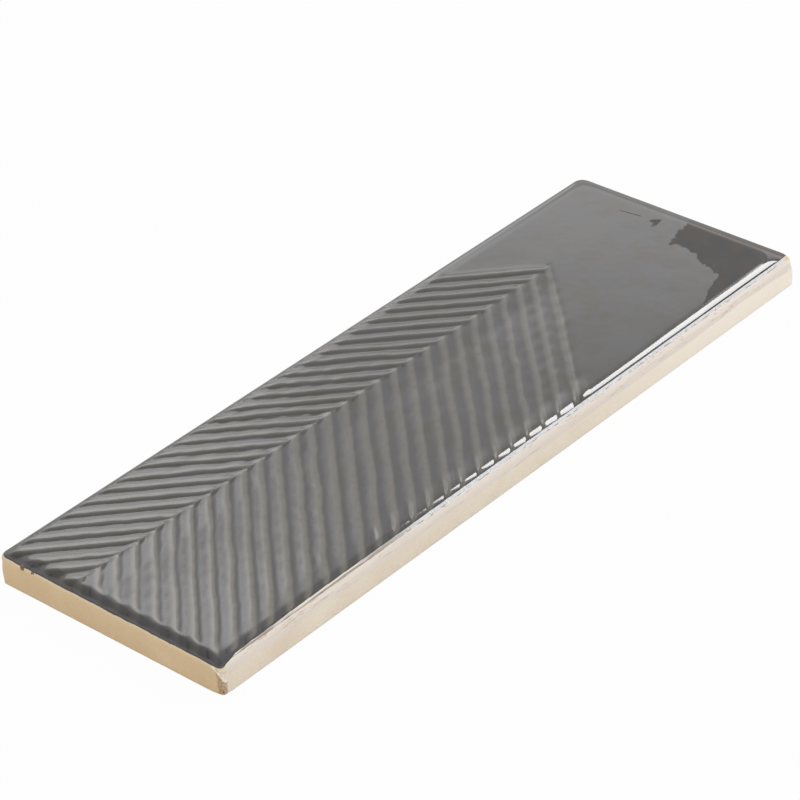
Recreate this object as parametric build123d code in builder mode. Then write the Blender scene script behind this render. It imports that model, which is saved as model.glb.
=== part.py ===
from build123d import *
import os
from math import ceil, cos, radians, sin, sqrt

# A glazed wall tile in the long subway format, pressed and fired as one piece.
# Sizes are in millimetres. The origin is at the middle of the underside, X runs
# across the tile, Y along it, with the plain end at +Y, and Z up through the glazed face.

# Body of the tile
tile_width = 65.0
tile_length = 200.0
tile_thickness = 9.0

# Soft pressed shoulder round the face: a small edge radius that turns in from the
# side, then a large crown radius that runs out level with the face
edge_radius = 1.7
edge_turn = 58.0
crown_radius = 5.3

# Upright corners, which can't be rounder than the shoulder's edge radius lets them be
corner_round = min(1.4, 0.85 * edge_radius)

# The sides lean in below the shoulder, so that the tile leaves its mould
foot_inset = 0.3
foot_break = 0.4

# Chevron relief: its spine lies off centre and its tip points at the plain end
spine_from_left = 21.6
tip_from_far_end = 41.5
chevron_pitch = 5.69
groove_width = 3.5
groove_depth = 0.35
lead_groove_width = 1.6
lead_groove_depth = 0.18

# Keyed back: rows of shallow tapered pockets that take the mortar
back_border = 4.5
back_rib = 2.4
pocket_depth = 0.7
pocket_columns = 4
pocket_rows = 12
pocket_taper = 35.0

# Cutters reach this far past the surfaces that they cut
overrun = 2.0

# How far the shoulder runs in over the face, and how far it drops below it
turn = radians(edge_turn)
shoulder_run = edge_radius * (1 - cos(turn)) + crown_radius * cos(turn)
shoulder_drop = edge_radius * sin(turn) + crown_radius * (1 - sin(turn))


def tile_section(span):
    """Cross-section of the tile, drawn from the middle out and mirrored to the full span."""
    half = span / 2
    spring = tile_thickness - shoulder_drop
    with BuildSketch(Plane.XY, mode=Mode.PRIVATE) as section:
        with BuildLine():
            base = Line((0, 0), (half - foot_inset - foot_break, 0))
            side = Line((half - foot_inset, foot_break), (half, spring))
            Line(base @ 1, side @ 0)
            CenterArc((half - edge_radius, spring), edge_radius, 0, edge_turn)
            crown = CenterArc(
                (half - shoulder_run, tile_thickness - crown_radius), crown_radius, edge_turn, 90 - edge_turn
            )
            Line(crown @ 1, (0, tile_thickness))
            Line((0, tile_thickness), (0, 0))
        make_face()
        mirror(about=Plane.YZ)
    return section.sketch


def groove_section(width, depth):
    """A groove seen along its length: one shallow arc, open at the top, so that ridges stay narrow."""
    with BuildSketch(Plane.XY, mode=Mode.PRIVATE) as section:
        with BuildLine():
            ThreePointArc((-width, 0), (-width / 2, -depth), (0, 0))
            Polyline((-width, 0), (-width, overrun), (0, overrun), (0, 0))
        make_face()
    return section.sketch


# The grooves' right legs run from the spine towards the near end, at 45 degrees.
# A ridge of the full height of the face is left between each two grooves, and the
# tip of the first ridge is the tip of the relief, with a narrow groove ahead of it.
spine_x = spine_from_left - tile_width / 2
tip_y = tile_length / 2 - tip_from_far_end
groove_spacing = chevron_pitch / sqrt(2)
ridge_land = groove_spacing - groove_width
chevron_count = ceil((tile_length - tip_from_far_end) / chevron_pitch)
leg_reach = sqrt(2) * (tile_width + tile_length)
leg_plane = Plane(origin=(spine_x, tip_y, tile_thickness), x_dir=(1, 1, 0), z_dir=(1, -1, 0))
spine_plane = Plane.YZ.offset(spine_x)

with BuildPart() as right_grooves:
    with BuildSketch(leg_plane):
        with Locations((lead_groove_width + ridge_land / 2, 0)):
            add(groove_section(lead_groove_width, lead_groove_depth))
        with Locations([(-ridge_land / 2 - i * groove_spacing, 0) for i in range(chevron_count)]):
            add(groove_section(groove_width, groove_depth))
    extrude(amount=leg_reach, both=True)
    split(bisect_by=spine_plane, keep=Keep.TOP)

with BuildPart() as left_grooves:
    mirror(right_grooves.part, about=spine_plane)

# Pockets of the keyed back fill the underside inside its border
back_width = tile_width - 2 * (foot_inset + back_border)
back_length = tile_length - 2 * (foot_inset + back_border)
pocket_width = (back_width + back_rib) / pocket_columns - back_rib
pocket_length = (back_length + back_rib) / pocket_rows - back_rib

# The tile: two crossed sections give the body with its shoulder on all four sides,
# the corners are rounded, and the relief and the keyed back are pressed in
with BuildPart() as ceramic_tile:
    with BuildSketch(Plane.XZ):
        add(tile_section(tile_width))
    extrude(amount=tile_length / 2, both=True)
    with BuildSketch(Plane.YZ):
        add(tile_section(tile_length))
    extrude(amount=tile_width / 2, both=True, mode=Mode.INTERSECT)

    corner_edges = edges().filter_by(
        lambda edge: abs(edge.center().X) > tile_width / 2 - shoulder_run
        and abs(edge.center().Y) > tile_length / 2 - shoulder_run
    )
    fillet(corner_edges, radius=corner_round)

    add(right_grooves.part, mode=Mode.SUBTRACT)
    add(left_grooves.part, mode=Mode.SUBTRACT)

    with BuildSketch(Plane.XY):
        with GridLocations(pocket_width + back_rib, pocket_length + back_rib, pocket_columns, pocket_rows):
            Rectangle(pocket_width, pocket_length)
    extrude(amount=pocket_depth, taper=pocket_taper, mode=Mode.SUBTRACT)

ceramic_tile.part.label = "ceramic_tile"

os.makedirs("parts", exist_ok=True)
export_step(ceramic_tile.part, "parts/ceramic_tile.step")
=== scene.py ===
import math

import bmesh
import bpy
import numpy as np
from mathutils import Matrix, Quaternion, Vector, noise


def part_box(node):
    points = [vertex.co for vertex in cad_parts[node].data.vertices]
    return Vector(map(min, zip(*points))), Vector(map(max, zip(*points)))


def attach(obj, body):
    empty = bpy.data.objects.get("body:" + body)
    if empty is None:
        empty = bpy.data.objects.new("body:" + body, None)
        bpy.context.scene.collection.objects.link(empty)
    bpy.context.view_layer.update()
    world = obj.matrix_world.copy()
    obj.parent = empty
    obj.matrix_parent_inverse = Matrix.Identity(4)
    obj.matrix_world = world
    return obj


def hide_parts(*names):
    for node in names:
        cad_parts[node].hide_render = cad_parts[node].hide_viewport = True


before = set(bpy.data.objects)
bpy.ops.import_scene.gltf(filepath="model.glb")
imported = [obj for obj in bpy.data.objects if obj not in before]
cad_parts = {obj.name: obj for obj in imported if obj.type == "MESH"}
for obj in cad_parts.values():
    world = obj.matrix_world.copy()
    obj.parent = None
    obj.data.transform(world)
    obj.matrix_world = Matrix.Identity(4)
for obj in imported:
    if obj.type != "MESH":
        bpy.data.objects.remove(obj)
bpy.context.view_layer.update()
MM = 0.001


# Camera. A long lens stands low at the tile's near right corner, a little off level,
# so that the tile runs across the picture from the bottom left to the top right.
camera_place = Vector((421.8, -470.7, 423.0)) * MM
camera_target = Vector((-5.97, 0.02, 4.5)) * MM
camera_roll = math.radians(-2.98)

camera_data = bpy.data.cameras.new("camera")
camera_data.sensor_width = 36.0
camera_data.lens = 151.45
camera_data.clip_start = 0.05
camera_data.clip_end = 20.0
camera = bpy.data.objects.new("camera", camera_data)
bpy.context.scene.collection.objects.link(camera)
camera.location = camera_place
camera.rotation_mode = "QUATERNION"
camera.rotation_quaternion = (camera_target - camera_place).to_track_quat("-Z", "Y") @ Quaternion(
    (0, 0, 1), camera_roll
)
bpy.context.scene.camera = camera


# Tile. One piece of cream clay, pressed with a chevron relief and with keys in its back,
# then glazed and fired. The glaze covers the face and the shoulder, and stops in a ragged
# line on the sides, which stay bare. Sizes in this section are in millimetres.
tile_low, tile_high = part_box("ceramic_tile")
width = (tile_high.x - tile_low.x) / MM
length = (tile_high.y - tile_low.y) / MM
thickness = (tile_high.z - tile_low.z) / MM

# The shoulder turns in from the side over three radii, each wider than the last. It is drawn
# out by a share at the near end, and at the right side by shares that change along the tile
edge_radius, crown_radius, brow_radius = 1.7, 5.3, 14.0
edge_turn, crown_turn = math.radians(58.0), math.radians(82.0)
near_draw = 0.28
right_draw_rows = [60.0, 90.0, 140.0, 154.0]
right_draw = [0.28, 0.22, 0.20, 0.08]
draw_start, draw_stop = 3.5, 8.5

# Corner sizes, near and far on the left, then on the right. They grow over the shoulder and
# a little past it, and sharpen towards the foot
corner_sizes = np.array([[2.4, 2.2], [1.7, 3.4]])
corner_growth = 0.5
corner_reach = 0.4
foot_corner = 1.4
foot_inset = 0.25
foot_break = 0.4

# The ribs: where the tip's crest lies from the near end, the pitch up the tile, the
# height of a crest, how wide its near and far flanks are, and how far the legs lean
spine = 21.6
left_ribs = {
    "tip": 158.4, "pitch": 5.715, "height": 0.33, "near": 0.88, "far": 0.95, "lean": 0.030, "seed": 100
}
right_ribs = {
    "tip": 159.6, "pitch": 5.60, "height": 0.06, "near": 1.05, "far": 0.85, "lean": 0.0, "seed": 500
}
rib_count = 34
rib_reach = 9.0

# The plain end lies above the valley floors, and the whole face a little under its bounds
plain_level = 0.20
face_margin = 0.03

# The legs meet in a stepped line at the spine, and a low shelf lies along its right. On the
# right shoulder the ribs end in saw teeth, but not in the calm near part
mitre_shift, mitre_step, mitre_width = -0.1, 0.9, 1.9
shelf_height, shelf_width = 0.11, 8.0
tooth_height, tooth_length, tooth_rise = 0.12, 3.4, 0.3
teeth_from, teeth_full = 57.0, 61.5
calm_from, calm_over = 58.0, 8.0
rib_loss = 0.6

# The mesh: squares of a fourteenth of a pitch under the relief, longer ones in the plain end
spacing = 5.69 / 14
plain_spacing = 0.8
plain_from = 163.0

rim_steps = 16
edge_length = edge_radius * edge_turn
crown_length = crown_radius * (crown_turn - edge_turn)
brow_length = brow_radius * (math.pi / 2 - crown_turn)
crown_inset = edge_radius * (1 - math.cos(edge_turn))
brow_inset = crown_inset + crown_radius * (math.cos(edge_turn) - math.cos(crown_turn))
crown_rise = edge_radius * math.sin(edge_turn)
brow_rise = crown_rise + crown_radius * (math.sin(crown_turn) - math.sin(edge_turn))
shoulder_run = brow_inset + brow_radius * math.cos(crown_turn)
shoulder_drop = brow_rise + brow_radius * (1 - math.sin(crown_turn))


def shoulder(travel):
    """Inset, drop and outward tilt of the shoulder at a distance along its curve from the side."""
    turn = np.where(
        travel < edge_length,
        travel / edge_radius,
        np.where(
            travel < edge_length + crown_length,
            edge_turn + (travel - edge_length) / crown_radius,
            crown_turn + (travel - edge_length - crown_length) / brow_radius,
        ),
    )
    inset = np.where(
        travel < edge_length,
        edge_radius * (1 - np.cos(turn)),
        np.where(
            travel < edge_length + crown_length,
            crown_inset + crown_radius * (math.cos(edge_turn) - np.cos(turn)),
            brow_inset + brow_radius * (math.cos(crown_turn) - np.cos(turn)),
        ),
    )
    rise = np.where(
        travel < edge_length,
        edge_radius * np.sin(turn),
        np.where(
            travel < edge_length + crown_length,
            crown_rise + crown_radius * (np.sin(turn) - math.sin(edge_turn)),
            brow_rise + brow_radius * (np.sin(turn) - math.sin(crown_turn)),
        ),
    )
    return inset, shoulder_drop - rise, np.pi / 2 - turn


# Lines of the face's grid: close rings round the shoulder, fine squares under the relief,
# with one line on the spine, and wider rows in the plain end
ring_travel = np.linspace(0, edge_length + crown_length + brow_length, rim_steps)
ring_inset, ring_drop, ring_tilt = shoulder(ring_travel)


def grid_lines(span, anchor, coarse_from=None):
    """Places of the grid's lines across a span, with the shoulder's rings at both ends."""
    start, stop = shoulder_run, span - shoulder_run
    first = anchor - spacing * int((anchor - start - 0.3 * spacing) / spacing)
    fine_stop = coarse_from or stop - 0.3 * spacing
    lines = list(np.arange(first, fine_stop, spacing))
    if coarse_from:
        steps = round((stop - lines[-1]) / plain_spacing)
        lines += list(np.linspace(lines[-1], stop, steps + 1)[1:-1])
    return np.concatenate([ring_inset, lines, span - ring_inset[::-1]])


columns = grid_lines(width, spine)
rows = grid_lines(length, length / 2, plain_from)
corner_lines = rim_steps + 17


def eased(value, start, stop):
    """0 at start and 1 at stop, with a smooth rise between them."""
    share = np.clip((value - start) / (stop - start), 0, 1)
    return share * share * (3 - 2 * share)


def drawn_out(depth, amount):
    """The shoulder drawn out towards its side by a share, with the face behind it following."""
    return depth * (1 - amount * (1 - eased(depth, draw_start, draw_stop)))


def mapped(column, row):
    """Plan place, contour inset and outward direction of the grid's vertices, corners rounded."""
    last_column, last_row = len(columns) - 1, len(rows) - 1
    side = np.minimum(column, last_column - column)
    end = np.minimum(row, last_row - row)
    from_side = np.where(column * 2 <= last_column, columns[column], width - columns[column])
    from_end = np.where(row * 2 <= last_row, rows[row], length - rows[row])
    inset = np.minimum(from_side, from_end)
    ring = np.minimum(side, end)
    reach = np.maximum(side, end)
    in_corner = reach < corner_lines
    size = corner_sizes[(column * 2 > last_column).astype(int), (row * 2 > last_row).astype(int)]
    widest = shoulder_run + corner_reach
    grown = size + corner_growth * np.minimum(inset, widest)
    radius = np.maximum(grown - np.maximum(inset - widest, 0), 0.0)
    side_end = np.where(side <= end, rows[corner_lines], columns[corner_lines])
    along_total = radius * np.pi / 4 + (side_end - inset - radius)
    share = (reach - ring) / np.maximum(corner_lines - ring, 1)
    travel = share * along_total
    on_arc = travel < radius * np.pi / 4
    turn = np.pi / 4 - travel / np.maximum(radius, 1e-6)
    across = np.where(on_arc, inset + radius * (1 - np.cos(turn)), inset)
    along_arc = inset + radius * (1 - np.sin(turn))
    along = np.where(on_arc, along_arc, inset + radius + travel - radius * np.pi / 4)
    turn = np.where(on_arc, turn, 0.0)
    by_side = side <= end
    new_side = np.where(in_corner, np.where(by_side, across, along), from_side)
    new_end = np.where(in_corner, np.where(by_side, along, across), from_end)
    face_side = np.where(in_corner, np.where(by_side, np.cos(turn), np.sin(turn)), by_side * 1.0)
    face_end = np.where(in_corner, np.where(by_side, np.sin(turn), np.cos(turn)), 1.0 - by_side)
    sign_x = np.where(column * 2 <= last_column, -1.0, 1.0)
    sign_y = np.where(row * 2 <= last_row, -1.0, 1.0)
    x = np.where(sign_x < 0, new_side, width - new_side)
    y = np.where(sign_y < 0, new_end, length - new_end)
    x = width - drawn_out(width - x, np.interp(y, right_draw_rows, right_draw))
    y = drawn_out(y, near_draw)
    return x, y, inset, ring, face_side * sign_x, face_end * sign_y


def rib_waves(seed, along):
    """How far a rib strays, and how its height and width change, along its length."""
    draw = np.random.default_rng(seed)

    def wave_of(size, wavelength):
        strength = size * draw.normal()
        return strength * np.sin(along * 2 * np.pi / wavelength + draw.uniform(0, 6.3))

    stray = draw.normal(0, 0.16)
    height = 1 + draw.normal(0, 0.05)
    spread = 1 + draw.normal(0, 0.06)
    for wavelength in (31.0, 17.0, 9.0, 5.2):
        stray = stray + wave_of(0.011 * wavelength ** 0.75, wavelength)
        height = height + wave_of(0.045, wavelength)
        spread = spread + wave_of(0.04, wavelength)
    return stray, height, spread


def leg(x, y, ribs):
    """One side's ribs: their height, the place across the nearest, the share of plain end, and
    the height of their saw-toothed ends, which are steep on the near side."""
    from_spine = np.abs(x - spine)
    along = from_spine * math.sqrt(2)
    climb = y + from_spine * (1 + ribs["lean"])
    bend = -0.35 * np.clip((7.0 - x) / 7.0, 0, 1) ** 1.5
    total = np.zeros_like(x)
    across = np.full_like(x, rib_reach)
    saw = np.zeros_like(x)
    for k in range(rib_count):
        stray, height, spread = rib_waves(ribs["seed"] + k, along)
        away = (climb - (ribs["tip"] - ribs["pitch"] * k + stray + bend)) / math.sqrt(2)
        flank = np.where(away < 0, ribs["near"], ribs["far"]) * spread
        if k == 0:
            beyond = 1 - np.exp(-0.5 * (np.clip(away, 0, None) / flank) ** 2)
        total += height * np.exp(-0.5 * (away / flank) ** 2)
        across = np.where(np.abs(away) < np.abs(across), away, across)
        far_side = np.clip(1 - (away / tooth_length) ** 2, 0, 1)
        near_side = np.exp(-0.5 * (away / tooth_rise) ** 2)
        saw = np.maximum(saw, np.where(away > 0, far_side, near_side))
    return total, across, beyond, saw


def relief(x, y):
    """Height of the face over the valley floor, the share of rib in it, and the place across it."""
    left, left_across, left_plain, _ = leg(x, y, left_ribs)
    right, right_across, right_plain, saw = leg(x, y, right_ribs)
    border = spine + mitre_shift + mitre_step * (np.clip(left, 0, 1) - 0.5)
    share = eased(x, border - mitre_width / 2, border + mitre_width / 2)
    plain = left_plain * (1 - share) + right_plain * share
    crest = left * (1 - share) + right * share

    by_side = eased(x, teeth_from, teeth_full)
    calm = np.clip((calm_from - y) / calm_over, 0, 1)
    right = right * (1 - rib_loss * by_side)
    by_spine = eased(x, spine + shelf_width, spine)
    height = left_ribs["height"] * left * (1 - share) + right_ribs["height"] * right * share
    height = height + tooth_height * saw * by_side * (1 - calm)
    height = height + plain_level * plain + shelf_height * share * by_spine * (1 - plain)
    return height, crest, np.where(share < 0.5, left_across, right_across)


def soft_noise(points, size, seed):
    """Smooth noise from -1 to 1 at plan places, with waves of about that size."""
    places = [Vector((px / size + seed, py / size, seed * 1.7)) for px, py in points]
    return np.array([noise.noise(place) for place in places])


# The face starts as a grid, whose vertices are then set on the shoulder and the relief
bpy.ops.object.select_all(action="DESELECT")
bpy.ops.mesh.primitive_grid_add(
    x_subdivisions=len(columns) - 1, y_subdivisions=len(rows) - 1, size=1, enter_editmode=False
)
tile = bpy.context.object
tile.name = "glazed_tile"
mesh = tile.data

count = len(mesh.vertices)
place = np.empty(count * 3)
mesh.vertices.foreach_get("co", place)
place = place.reshape(-1, 3)
column = np.round((place[:, 0] + 0.5) * (len(columns) - 1)).astype(int)
row = np.round((place[:, 1] + 0.5) * (len(rows) - 1)).astype(int)

# Rings of the rim follow the shoulder's curve, and everything inside them lies on the face
x, y, inset, ring, out_x, out_y = mapped(column, row)
on_rim = ring < rim_steps
ring_here = np.minimum(ring, rim_steps - 1)
drop = np.where(on_rim, ring_drop[ring_here], 0.0)
tilt = np.where(on_rim, ring_tilt[ring_here], 0.0)

# The relief and two slow waves of the face sink into it, and fade out over the shoulder
face_height, crest, across_rib = relief(x, y)
plan = np.stack([x, y], 1)
ripple = 0.010 * soft_noise(plan, 9.0, 3) + 0.018 * soft_noise(plan, 23.0, 8)
to_side = np.abs(out_x) ** 2
fade = 1 - eased(tilt, 0.06, 0.56 + 0.80 * (1 - to_side))
sink = left_ribs["height"] * 1.12 + face_margin
shoulder_sink = sink - plain_level
lift = np.minimum((face_height + ripple - plain_level) * fade - shoulder_sink * np.cos(tilt), 0.0)
place[:, 0] = x - width / 2 + lift * np.sin(tilt) * out_x
place[:, 1] = y - length / 2 + lift * np.sin(tilt) * out_y
place[:, 2] = thickness - drop + lift * np.cos(tilt)
mesh.vertices.foreach_set("co", (place * MM).ravel())
mesh.update()

# The material reads the share of rib, the place across it, and the way along the shoulder
edge_place = ring_travel[ring_here] + np.where(on_rim, 0.0, 1.0)
for name, values in (("crest", crest * fade), ("across", across_rib), ("edge", edge_place)):
    mesh.attributes.new(name, "FLOAT", "POINT").data.foreach_set("value", values.astype(np.float32))

# The squares are split along the ribs, so that each crest is a clean line
shape = bmesh.new()
shape.from_mesh(mesh)
shape.verts.ensure_lookup_table()
for face in list(shape.faces):
    corners = sorted(face.verts, key=lambda v: (v.index // len(columns), v.index % len(columns)))
    near_left, near_right, far_left, far_right = corners
    if face.calc_center_median().x < (spine - width / 2) * MM:
        bmesh.utils.face_split(face, near_left, far_right)
    else:
        bmesh.utils.face_split(face, near_right, far_left)
shape.to_mesh(mesh)
shape.free()

# Sides: the face's border is drawn down to the foot in steps
bpy.ops.object.mode_set(mode="EDIT")
bpy.ops.mesh.select_mode(type="EDGE")
bpy.ops.mesh.select_all(action="DESELECT")
bpy.ops.mesh.select_non_manifold(extend=False, use_wire=False, use_boundary=True, use_multi_face=False)
spring = thickness - shoulder_drop
side_levels = [6.2, 5.2, 4.2, 3.2, 2.2, 1.3, 0.8, foot_break, 0.0]
level = spring
for next_level in side_levels:
    bpy.ops.mesh.extrude_edges_move(TRANSFORM_OT_translate={"value": (0, 0, (next_level - level) * MM)})
    level = next_level
bpy.ops.object.mode_set(mode="OBJECT")

# The sides lean in to the foot, their corners sharpen downwards, and the near right one is chipped
side_wave = 0.05
chip_spread, chip_depth, chip_foot = 3.5, 0.55, 0.5
count = len(mesh.vertices)
place = np.empty(count * 3)
mesh.vertices.foreach_get("co", place)
place = place.reshape(-1, 3) / MM
below = place[:, 2] < spring - 0.01
body = place[below]
fall = np.clip((spring - body[:, 2]) / (spring - foot_break), 0, 1)
lean = foot_inset * np.clip(fall - 0.3, 0, 1) / 0.7 + foot_break * (body[:, 2] < 0.01)
size = corner_sizes[(body[:, 0] > 0).astype(int), (body[:, 1] > 0).astype(int)]
sharp = size + (foot_corner - size) * np.minimum(fall * 2.0, 1)
from_x = np.abs(body[:, 0]) - (width / 2 - size)
from_y = np.abs(body[:, 1]) - (length / 2 - size)
angle = np.arctan2(np.maximum(from_y, 0), np.maximum(from_x, 0))
corner = (from_x > 1e-4) & (from_y > 1e-4)
new_x = np.where(corner, width / 2 - sharp + sharp * np.cos(angle), np.abs(body[:, 0]))
new_y = np.where(corner, length / 2 - sharp + sharp * np.sin(angle), np.abs(body[:, 1]))
face_x = np.where(corner, np.cos(angle), from_x > -1e-3)
face_y = np.where(corner, np.sin(angle), from_y > -1e-3)
slanted = np.stack([body[:, 0] + body[:, 2], body[:, 1] - body[:, 2]], 1)
uneven = side_wave * np.abs(soft_noise(slanted, 6.0, 21))
by_corner = np.exp(-((body[:, 0] - width / 2) ** 2 + (body[:, 1] + length / 2) ** 2) / chip_spread)
crumble = np.clip(soft_noise(body[:, [2, 0]] * 2.2 + body[:, [1, 1]], 1.3, 5) + 0.35, 0, 1)
chip = by_corner * (0.25 + 0.75 * crumble) * (body[:, 2] < spring - 0.3)
inward = lean + uneven + (chip_depth + chip_foot * (body[:, 2] < 1.5)) * chip
body[:, 0] = np.sign(body[:, 0]) * (new_x - inward * face_x)
body[:, 1] = np.sign(body[:, 1]) * (new_y - inward * face_y)
place[below] = body
mesh.vertices.foreach_set("co", (place * MM).ravel())
mesh.update()
edge_place = np.empty(count)
mesh.attributes["edge"].data.foreach_get("value", edge_place)
edge_place[below] = place[below, 2] - spring
mesh.attributes["edge"].data.foreach_set("value", edge_place.astype(np.float32))

# Keyed back: a sheet of 4 by 12 cells, each inset by half a rib and sunk with a taper
back_border, back_rib, pocket_depth, pocket_taper = 4.5, 2.4, 0.7, math.radians(35)
back_width = width - 2 * (foot_inset + back_border)
back_length = length - 2 * (foot_inset + back_border)
bpy.ops.object.select_all(action="DESELECT")
bpy.ops.mesh.primitive_grid_add(x_subdivisions=4, y_subdivisions=12, size=1)
back = bpy.context.object
back.scale = ((back_width + back_rib) * MM, (back_length + back_rib) * MM, 1)
bpy.ops.object.transform_apply(location=True, rotation=True, scale=True)
bpy.ops.object.mode_set(mode="EDIT")
bpy.ops.mesh.select_all(action="SELECT")
bpy.ops.mesh.flip_normals()
bpy.ops.mesh.inset(thickness=back_rib / 2 * MM, depth=0, use_individual=True)
bpy.ops.mesh.inset(
    thickness=pocket_depth * math.tan(pocket_taper) * MM, depth=-pocket_depth * MM, use_individual=True
)
bpy.ops.object.mode_set(mode="OBJECT")
back_edge = back.data.attributes.new("edge", "FLOAT", "POINT")
back_edge.data.foreach_set("value", np.full(len(back.data.vertices), -spring, np.float32))

# The back is joined to the foot, and the flat border between them is bridged
bpy.ops.object.select_all(action="DESELECT")
back.select_set(True)
tile.select_set(True)
bpy.context.view_layer.objects.active = tile
bpy.ops.object.join()
bpy.ops.object.mode_set(mode="EDIT")
bpy.ops.mesh.select_mode(type="EDGE")
bpy.ops.mesh.select_all(action="DESELECT")
bpy.ops.mesh.select_non_manifold(extend=False, use_wire=False, use_boundary=True, use_multi_face=False)
bpy.ops.mesh.bridge_edge_loops()
bpy.ops.mesh.select_all(action="SELECT")
bpy.ops.mesh.normals_make_consistent(inside=False)
bpy.ops.object.mode_set(mode="OBJECT")
bpy.ops.object.shade_smooth_by_angle(angle=math.radians(50))


class Shade:
    """One output of a shader node. Arithmetic on it adds Math nodes to the same material."""

    def __init__(self, tree, socket=None):
        self.tree = tree
        self.socket = socket

    def make(self, kind, settings=None, values=None, output=0):
        """Adds a node of a kind, with its settings first and then its sockets' values or links."""
        node = self.tree.nodes.new("ShaderNode" + kind)
        for name, value in (settings or {}).items():
            setattr(node, name, value)
        for name, value in (values or {}).items():
            if isinstance(value, Shade):
                self.tree.links.new(value.socket, node.inputs[name])
            else:
                node.inputs[name].default_value = value
        return Shade(self.tree, node.outputs[output])

    def math(self, operation, *others):
        return self.make("Math", {"operation": operation}, dict(enumerate((self, *others))))

    def __add__(self, other):
        return self.math("ADD", other)

    def __radd__(self, other):
        return self.math("ADD", other)

    def __sub__(self, other):
        return self.math("SUBTRACT", other)

    def __rsub__(self, other):
        return self.make("Math", {"operation": "SUBTRACT"}, {0: other, 1: self})

    def __mul__(self, other):
        return self.math("MULTIPLY", other)

    def __rmul__(self, other):
        return self.math("MULTIPLY", other)

    def step(self, start, stop):
        """0 below start and 1 above stop, with a smooth rise between them."""
        return self.make(
            "MapRange",
            {"interpolation_type": "SMOOTHSTEP"},
            {"Value": self, "From Min": start, "From Max": stop},
        )

    def mix(self, low, high):
        """One colour or the other, by this value as the share of the second."""
        full = [c if isinstance(c, Shade) else (*c, 1) for c in (low, high)]
        return self.make("Mix", {"data_type": "RGBA"}, {0: self, 6: full[0], 7: full[1]}, output=2)


def linear(red, green, blue):
    """A colour as it shows on a screen, from 0 to 255, as the shader's linear light."""
    shares = (c / 255 for c in (red, green, blue))
    return tuple(c / 12.92 if c <= 0.04 else ((c + 0.055) / 1.055) ** 2.4 for c in shares)


glaze_material = bpy.data.materials.new("grey_glaze_on_cream_body")
glaze_material.use_nodes = True
tree = glaze_material.node_tree
principled = tree.nodes["Principled BSDF"]
shade = Shade(tree)
metres = shade.make("TexCoord", output=3)
spot = shade.make("VectorMath", {"operation": "SCALE"}, {0: metres, "Scale": 1000.0})
x, y, z = (shade.make("SeparateXYZ", values={0: spot}, output=i) for i in range(3))
rib = shade.make("Attribute", {"attribute_name": "crest"}, output=2)
across = shade.make("Attribute", {"attribute_name": "across"}, output=2)
edge = shade.make("Attribute", {"attribute_name": "edge"}, output=2)


def noise_at(scale, detail=3.0, stretch=None):
    """Noise from 0 to 1 with waves of about 1 / scale millimetres, drawn out along an axis if asked."""
    vector = spot
    if stretch:
        vector = shade.make("Mapping", values={"Vector": spot, "Scale": stretch})
    return shade.make("TexNoise", values={"Vector": vector, "Scale": scale, "Detail": detail})


cloud = noise_at(0.09)
drift = noise_at(0.16, 4.0)
flow = noise_at(0.55, 3.0)
grain = noise_at(2.4, 2.0)
speck = noise_at(5.0, 1.0)
near = y * -1.0
to_near = near.step(-20.0, 90.0)

# Glaze: thin and light on the crests, brown where it breaks beside them, cool or olive in pools
cool, warm, olive = linear(70, 69, 72), linear(71, 68, 65), linear(66, 63, 55)
pool = cloud.step(0.38, 0.62).mix(cool, warm)
pool = (drift.step(0.47, 0.62) * (0.9 - to_near * 0.5)).mix(pool, olive)
thin = (across.step(-1.3, 0.1) - across.step(0.3, 1.6)) * rib.step(0.3, 0.7)
thin = thin * (1 - near.step(96.4, 98.4) * 0.8)
thin = thin * (0.6 + flow.step(0.1, 0.6) * 0.4) * (0.62 + to_near * 0.38)
glaze_colour = thin.mix(pool, linear(112, 108, 101))
break_line = across.step(-2.0, -1.5) - across.step(-1.45, -0.95)
break_line = break_line * flow.step(0.45, 0.6) * (1 - rib.step(0.3, 0.5))
glaze_colour = (break_line * (0.15 + to_near * 0.65)).mix(glaze_colour, linear(52, 44, 32))

# Thick glaze that pooled brown and dull in the far right corner, with a blot and a dash beside it
pool_line = 88.5 - x * 0.3 - x.step(22.5, 30.0) * 13.0
pool_edge = (y - pool_line + (drift - 0.5) * 9.0 + (flow - 0.5) * 4.0).step(-0.3, 0.3)
pool_side = (x + (y - 91.0) * 0.25 - 4.6 + (flow - 0.5) * 3.0).step(-0.3, 0.3)
from_blot = (y - 91.9).math("ABSOLUTE") + (x + 2.8).math("ABSOLUTE")
blot = (flow * 0.6 + grain * 0.4 - from_blot * 0.085).step(0.33, 0.37)
dash = (y - 91.1 - (x + 13.2) * 0.136).math("ABSOLUTE").step(0.24, 0.10)
dash = dash * (x.step(-13.6, -12.6) - x.step(-7.8, -7.0))
corner_pool = (pool_edge * pool_side).math("MAXIMUM", blot).math("MAXIMUM", dash)
pool_colour = drift.step(0.4, 0.6).mix(linear(26, 24, 26), linear(44, 33, 22))
glaze_colour = (corner_pool * 0.92).mix(glaze_colour, pool_colour)
far_streak = (y - 96.3).math("ABSOLUTE").step(0.9, 0.2) * x.step(0.0, 6.0)
glaze_colour = (far_streak * 0.7).mix(glaze_colour, linear(72, 50, 32))

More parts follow.
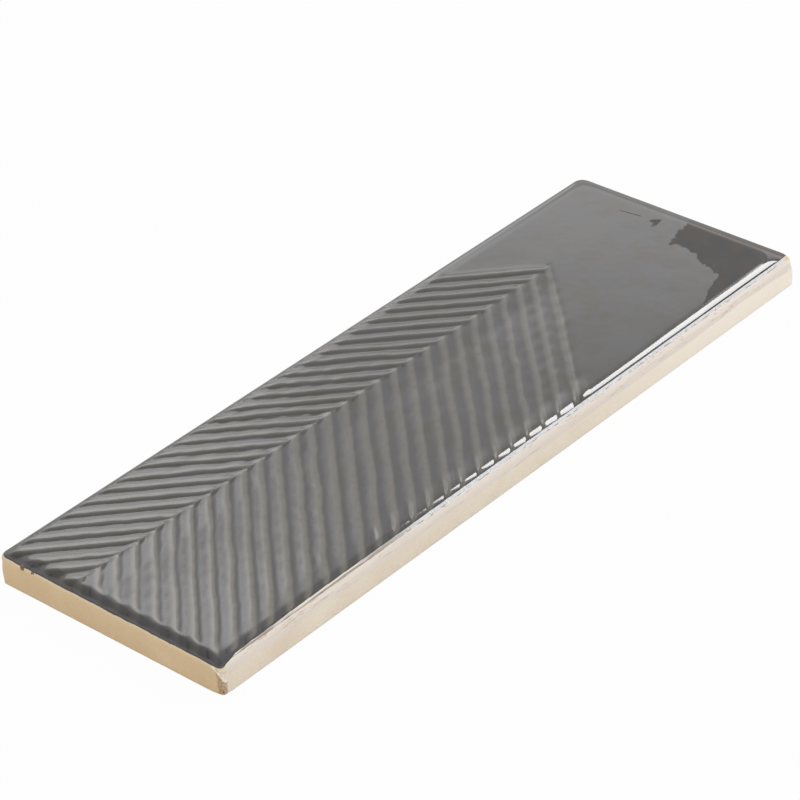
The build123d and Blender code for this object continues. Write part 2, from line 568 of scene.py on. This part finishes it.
# Glaze's lower line: low and ragged on three sides, high on the right, where the slip shows
right_side = x.step(29.8, 31.6) * y.step(-99.4, -97.6)
edge_wave = (noise_at(0.35, 4.0) - 0.5) * 0.9 + (grain - 0.5) * 0.2
rib_jog = (across.step(-1.2, 0.0) - across.step(0.1, 0.4)) * rib.step(0.0, 0.2) * 0.25
right_end = 3.12 - near.step(65.0, 96.0) * 0.8 - near.step(93.0, 99.0) * 1.1
smooth_end = (0.93 - x * 0.0035) * (1 - right_side) + right_end * right_side
glaze_end = smooth_end + edge_wave * (0.6 - right_side * 0.38) + rib_jog * right_side
over_line = edge - glaze_end
glazed = over_line.step(-0.04, 0.04)
# A dark band along the glaze's lower line: partly its thick bead, partly painted shade of the edge
bead_and_edge_shade = over_line.step(-0.12, -0.02) - over_line.step(0.16, 0.26)

# Body: tan on the short ends, paler on the long sides, with a light slip just under the glaze
long_side = x.math("ABSOLUTE").step(31.4, 32.0)
mottle = (cloud * 0.5 + grain * 0.5).step(0.3, 0.75)
tan = mottle.mix(linear(221, 192, 151), linear(234, 208, 169))
cream = mottle.mix(linear(227, 211, 190), linear(241, 230, 212))
streak = noise_at(0.5, 3.0, (1.0, 0.09, 1.6))
pink = (z - 5.2 + (streak - 0.5) * 3.0).step(-0.3, 0.6) * right_side
# Painted light: the long sides are made lighter towards the far end
cream = (y.step(-15.0, 75.0) * 0.9).mix(cream, linear(252, 242, 227))
cream = (pink * 0.8).mix(cream, linear(230, 219, 209))
vein = (streak - 0.5).math("ABSOLUTE").step(0.012, 0.0) * pink
cream = (vein * 0.6).mix(cream, linear(176, 152, 124))
body_colour = long_side.mix(tan, cream)
under_line = over_line.step(-0.7, -0.3) * (1 - right_side)
body_colour = under_line.mix(body_colour, linear(226, 205, 174))

# Slip: bluish white towards the far end, partly real slip and partly a painted highlight, beige with
# white lines towards the near one
far_lit_part = y.step(-55.0, -30.0)
line_noise = noise_at(1.6, 2.0, (1.0, 0.05, 1.0))
beige = line_noise.step(0.46, 0.60).mix(linear(158, 146, 134), linear(224, 217, 208))
# The far white of the slip is partly painted highlight
white = grain.step(0.35, 0.65).mix(linear(196, 198, 201), linear(224, 227, 231))
slip_and_highlight_colour = far_lit_part.mix(beige, white)
slip_place = edge + (flow - 0.5) * 0.35
slip = (slip_place - 1.62).step(-0.08, 0.08) * right_side
dots = noise_at(1.1, 2.0, (1.0, 0.35, 1.0)).step(0.52, 0.58)
slip_edge = (slip_place - 1.75).math("ABSOLUTE").step(0.16, 0.05) * dots * right_side
body_colour = slip.mix(body_colour, slip_and_highlight_colour)
body_colour = (slip_edge * 0.75).mix(body_colour, linear(104, 94, 86))

# The near right upright edge is rubbed, with the slip curling round it onto the short end
past_bend = x - 29.7
curl_line = 7.2 - past_bend * past_bend * 0.52
near_edge = y.step(-98.0, -98.5) * x.step(29.5, 30.1)
rubbed = (curl_line - z).step(0.0, 0.3) * (x + (flow - 0.5) * 1.6).step(30.6, 31.1) * near_edge
rubbed = rubbed * (0.45 + grain.step(0.4, 0.6) * 0.5)
body_colour = rubbed.mix(body_colour, linear(168, 132, 94))
curl = (z - curl_line).math("ABSOLUTE").step(0.55, 0.2) * near_edge
body_colour = (curl * 0.9).mix(body_colour, linear(240, 234, 222))

# Two nicks in the short end, under the glaze's line: the glaze is gone there, and their dark colour is
# painted shade
rise = edge - 0.75 + (grain - 0.5) * 1.2
from_large, from_small = x + 25.1, x + 22.0
nicks_and_shade = (from_large * from_large + rise * rise).step(0.55, 0.25)
nicks_and_shade = nicks_and_shade + (from_small * from_small + rise * rise).step(0.25, 0.10)
nicks_and_shade = nicks_and_shade * near.step(98.0, 98.6)

# Glaze over body, with a dark line at its lower edge that is partly the glaze's thick bead and partly
# painted shade of that edge
colour = (glazed * (1 - nicks_and_shade)).mix(body_colour, glaze_colour)
colour = (nicks_and_shade * 0.85).mix(colour, linear(66, 50, 38))
colour = (bead_and_edge_shade * (0.45 + right_side * 0.45)).mix(colour, linear(38, 34, 31))
tree.links.new(colour.socket, principled.inputs["Base Color"])
roughness = 0.82 - glazed * 0.75 - slip * (1 - glazed) * 0.45
roughness = roughness + corner_pool * edge.step(4.6, 5.2) * 0.07
tree.links.new(roughness.socket, principled.inputs["Roughness"])

# The body is grainy, the glaze is 0.11 mm thick and ripples a little, and where it pooled it
# leans to the near right, so that it mirrors a darker part of the room
relief_height = (grain * 0.06 + speck * 0.05) * (1 - glazed) * (1 - slip * 0.7)
relief_height = relief_height + (edge - smooth_end).step(-0.05, 0.36) * 0.11
relief_height = relief_height + noise_at(0.45, 0.0) * glazed * 0.004
bump = shade.make("Bump", values={"Strength": 1.0, "Distance": 0.001, "Height": relief_height})
pooled = corner_pool * edge.step(4.4, 5.0)
pool_lean = shade.make("VectorMath", {"operation": "SCALE"}, {0: (0.026, -0.036, 0.0), "Scale": pooled})
leaned = shade.make("VectorMath", {"operation": "ADD"}, {0: bump, 1: pool_lean})
leaned = shade.make("VectorMath", {"operation": "NORMALIZE"}, {0: leaned})
tree.links.new(leaned.socket, principled.inputs["Normal"])
principled.inputs["IOR"].default_value = 1.6
tile.data.materials.clear()
tile.data.materials.append(glaze_material)

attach(tile, "root")
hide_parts("ceramic_tile")


# Floor. A wide white sheet under the tile, lit to just under white, that keeps a faint
# shadow. To the camera most of its colour is plain white.
bpy.ops.object.select_all(action="DESELECT")
bpy.ops.mesh.primitive_plane_add(size=8, location=(0, 0, -0.05 * MM))
bpy.ops.object.transform_apply(location=True, rotation=True, scale=True)
floor = bpy.context.object
floor.name = "floor"
floor_material = bpy.data.materials.new("white_sheet")
floor_material.use_nodes = True
tree = floor_material.node_tree
shade = Shade(tree)
seen = shade.make("LightPath")
paper = tree.nodes["Principled BSDF"]
paper.inputs["Base Color"].default_value = (0.62, 0.62, 0.62, 1)
paper.inputs["Roughness"].default_value = 0.9
paper.inputs["Specular IOR Level"].default_value = 0.0
white = shade.make("Emission", values={"Color": (1, 1, 1, 1), "Strength": 1.0})
sheet = shade.make("MixShader", values={0: seen * 0.97, 1: Shade(tree, paper.outputs[0]), 2: white})
tree.links.new(sheet.socket, tree.nodes["Material Output"].inputs["Surface"])
floor.data.materials.append(floor_material)


# Studio. Bright low down behind the tile, plain in front of it and dark overhead, with a
# long soft lamp that hangs behind, whose reflection runs along the right shoulder.
world = bpy.data.worlds.new("studio")
world.use_nodes = True
bpy.context.scene.world = world
tree = world.node_tree
shade = Shade(tree)
direction = shade.make("TexCoord")
east, north, up = (shade.make("SeparateXYZ", values={0: direction}, output=i) for i in range(3))

# How far round to the left of the far end a direction lies: 1 is halfway to the left side
quarter = (east * -1.0).math("DIVIDE", north.math("MAXIMUM", 0.01))

# The dark part overhead starts higher at the far left, and is darkest a little past it
corner_side = quarter.step(0.75, 1.10)
near_side = quarter.step(0.98, 1.07) - quarter.step(1.22, 1.36)
near_side = near_side * (up.step(0.57, 0.60) - up.step(0.70, 0.76))
overhead = (up - corner_side * 0.085 - near_side * 0.04).step(0.555, 0.675)
overhead_level = 0.735 - quarter.step(1.3, 1.6) * up.step(0.69, 0.74) * 0.32

# The bright part below it has three glows, and dims towards the horizon
behind = north.step(-0.1, 0.4)
corner_glow = quarter.step(0.92, 1.08) - quarter.step(1.3, 1.6)
far_glow = behind * (up.step(0.34, 0.46) - up.step(0.49, 0.56))
horizon = behind * (1 - up.step(0.03, 0.20))
glow = 1 + corner_glow * 0.58 + far_glow * 0.85 + near_side * 1.1
low_level = (1.02 + behind * 0.03) * glow * (1 - horizon * 0.45)
level = low_level * (1 - overhead) + overhead * overhead_level
seen = shade.make("LightPath")
strength = seen + (1 - seen) * level
background = tree.nodes["Background"]
background.inputs["Color"].default_value = (1, 1, 1, 1)
tree.links.new(strength.socket, background.inputs["Strength"])


def soft_lamp(name, bearing, height, distance, spread, tall, radiance, roll=0.0):
    """A rectangular lamp that faces the tile. Its bearing is from the far end, and all its angles
    are in degrees."""
    bearing, height = math.radians(bearing), math.radians(height)
    flat = math.cos(height)
    toward = Vector((math.sin(bearing) * flat, math.cos(bearing) * flat, math.sin(height)))
    data = bpy.data.lights.new(name, "AREA")
    data.shape = "RECTANGLE"
    data.size = 2 * distance * math.tan(math.radians(spread / 2))
    data.size_y = 2 * distance * math.tan(math.radians(tall / 2))
    data.energy = radiance * math.pi * data.size * data.size_y
    lamp = bpy.data.objects.new(name, data)
    bpy.context.scene.collection.objects.link(lamp)
    lamp.location = toward * distance
    lamp.rotation_mode = "QUATERNION"
    turned = Quaternion((0, 0, 1), math.radians(roll))
    lamp.rotation_quaternion = (-toward).to_track_quat("-Z", "Y") @ turned
    lamp.visible_camera = False
    return lamp


soft_lamp(
    "back_lamp",
    bearing=-14.7, height=41.9, distance=1.3, spread=17.2, tall=11.2, radiance=10.0, roll=-12.0,
)
soft_lamp("right_lamp", bearing=98.0, height=22.0, distance=1.3, spread=36.0, tall=30.0, radiance=1.1)

bpy.context.scene.view_settings.view_transform = "Standard"
